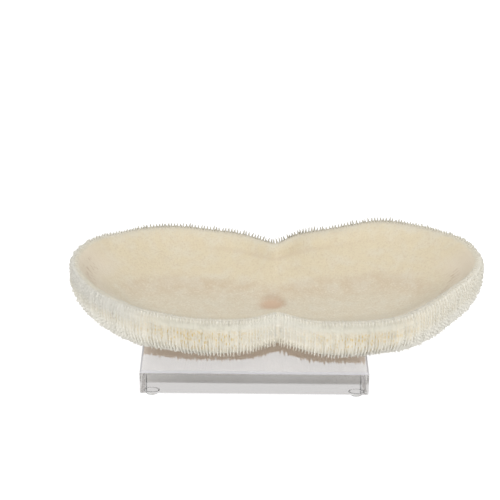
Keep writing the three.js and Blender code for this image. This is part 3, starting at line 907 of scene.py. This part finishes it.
# The softboxes: place, width and height in metres, and watts.
SOFTBOXES = {
    "softbox": ((0, -1.78, 1.37), 3.2, 0.35, 29),
    "low_fill": ((0, -2.2, 0.42), 3.6, 0.75, 9),
    "back_fill": ((0, 1.6, 1.9), 3.2, 0.5, 5),
}
SOFTBOX_TARGET = Vector((0, 0, 0.05))


def coral_shade(graph, x, y, out):
    """The coral's shade on the floor. Its front edge follows the rim above it, with a pinch at the waist and
    a fringe for the septa."""
    from_waist = graph.math("ABSOLUTE", graph.math("SUBTRACT", x, SHADE_WAIST))
    pinch = graph.math("POWER", graph.times(from_waist, 1 / SHADE_WAIST_HALF_WIDTH), WAIST_POWER)
    pinch = graph.times(graph.math("POWER", SHADE_WAIST_FALL, pinch), SHADE_WAIST_DEPTH)
    left = graph.ramp(x, SHADE_LEFT_X, SHADE_LEFT_SHIFT, "SMOOTHSTEP")
    right = graph.ramp(x, SHADE_RIGHT_X, SHADE_RIGHT_SHIFT, "SMOOTHSTEP")
    fringe = graph.add("ShaderNodeTexNoise", noise_dimensions="1D")
    graph.feed(fringe.inputs["Scale"], FRINGE_SCALE)
    graph.feed(fringe.inputs["Detail"], 0)
    graph.feed(fringe.inputs["W"], x)
    bends = (pinch, left, right, graph.times(fringe.outputs["Fac"], FRINGE_DEPTH))
    edge = reduce(lambda first, second: graph.math("ADD", first, second), bends)
    shade = graph.ramp(graph.math("SUBTRACT", y, edge), SHADE_EDGE_Y, (0, 1), "SMOOTHSTEP")
    shade = graph.times(shade, graph.ramp(y, SHADE_BACK_Y, (1, 0), "SMOOTHSTEP"))
    return graph.times(shade, graph.ramp(out, SHADE_END_X, (1, 0), "SMOOTHSTEP"))


def dim_behind(graph, y, out):
    """A soft, dimmer ellipse of floor behind the block, which makes the dark band in the block's front."""
    along = graph.math("POWER", graph.times(out, 1 / DIM_HALF_LENGTH), 2)
    across = graph.times(graph.math("SUBTRACT", y, DIM_MIDDLE), 1 / DIM_HALF_DEPTH)
    across = graph.math("POWER", across, 2)
    away = graph.math("POWER", graph.math("ADD", along, across), 0.5)
    return graph.ramp(away, DIM_AWAY, DIM_DEPTHS, "SMOOTHSTEP")


def build_floor():
    """A pale floor that glows, so that shadows on it stay faint. Lamp light doesn't pass the clear block, so
    the coral's shade that shows through it is a dimmer and warmer stretch of the glow."""
    middle = (BLOCK_MIDDLE[0] * MM, BLOCK_MIDDLE[1] * MM, -STAGE_DROP)
    bpy.ops.mesh.primitive_plane_add(size=STAGE_SIZE, location=middle)
    floor = bpy.context.object
    floor.name = "floor"
    material = bpy.data.materials.new("floor")
    graph = Graph(material)
    paint = graph.nodes["Principled BSDF"]
    graph.feed(paint.inputs["Base Color"], STAGE_PAINT)
    graph.feed(paint.inputs["Roughness"], STAGE_ROUGHNESS)
    place = graph.add("ShaderNodeSeparateXYZ")
    graph.feed(place.inputs[0], graph.add("ShaderNodeTexCoord").outputs["Object"])
    x, y = place.outputs["X"], place.outputs["Y"]
    out = graph.math("ABSOLUTE", x)
    shade = coral_shade(graph, x, y, out)
    glow = graph.add("ShaderNodeEmission")
    graph.feed(glow.inputs["Strength"], STAGE_GLOW)
    graph.feed(glow.inputs["Color"], graph.mix(shade, WHITE, SHADE_TINT))
    dim = graph.math("MAXIMUM", graph.times(shade, SHADE_DEPTH), dim_behind(graph, y, out))
    both = graph.add("ShaderNodeMixShader")
    graph.feed(both.inputs[0], graph.math("SUBTRACT", GLOW_PART, dim))
    graph.feed(both.inputs[1], paint.outputs[0])
    graph.feed(both.inputs[2], glow.outputs[0])
    graph.feed(graph.nodes["Material Output"].inputs["Surface"], both.outputs[0])
    floor.data.materials.append(material)


def build_light():
    """A white room, a little darker at the back, with a long softbox in front, above the camera, and two weak
    ones: a low one under the camera and a high one behind the coral."""
    world = bpy.data.worlds.new("studio")
    graph = Graph(world)
    towards = graph.add("ShaderNodeSeparateXYZ")
    graph.feed(towards.inputs[0], graph.add("ShaderNodeTexCoord").outputs["Generated"])
    room = graph.nodes["Background"]
    graph.feed(room.inputs["Color"], WHITE)
    strength = graph.ramp(towards.outputs["Y"], ROOM_Y, ROOM_STRENGTH, "SMOOTHSTEP")
    graph.feed(room.inputs["Strength"], strength)
    bpy.context.scene.world = world
    for name, (place, width, height, watts) in SOFTBOXES.items():
        light = bpy.data.lights.new(name, "AREA")
        light.shape = "RECTANGLE"
        light.size = width
        light.size_y = height
        light.energy = watts
        softbox = bpy.data.objects.new(name, light)
        bpy.context.scene.collection.objects.link(softbox)
        softbox.location = place
        softbox.rotation_euler = (SOFTBOX_TARGET - softbox.location).to_track_quat("-Z", "Y").to_euler()


def build_camera():
    yaw, pitch, roll = np.radians((CAMERA_YAW, CAMERA_PITCH, CAMERA_ROLL))
    level = np.array((np.cos(yaw), np.sin(yaw), 0))
    ahead = np.array((-np.sin(yaw), np.cos(yaw), 0))
    above = np.array((0, 0, 1))
    forward = ahead * np.cos(pitch) - above * np.sin(pitch)
    upward = above * np.cos(pitch) + ahead * np.sin(pitch)
    right = level * np.cos(roll) + upward * np.sin(roll)
    upward = upward * np.cos(roll) - level * np.sin(roll)
    place = (BLOCK_MIDDLE + np.array(CAMERA_PLACE)) * MM
    camera = bpy.data.objects.new("camera", bpy.data.cameras.new("camera"))
    camera.data.lens = CAMERA_LENS
    camera.data.clip_start = CAMERA_CLIP
    turned = np.eye(4)
    turned[:3, 0], turned[:3, 1], turned[:3, 2], turned[:3, 3] = right, upward, -forward, place
    camera.matrix_world = Matrix(turned.tolist())
    bpy.context.scene.collection.objects.link(camera)
    bpy.context.scene.camera = camera


build_coral()
build_stand()
build_floor()
build_light()
build_camera()
bpy.context.scene.view_settings.view_transform = "Standard"
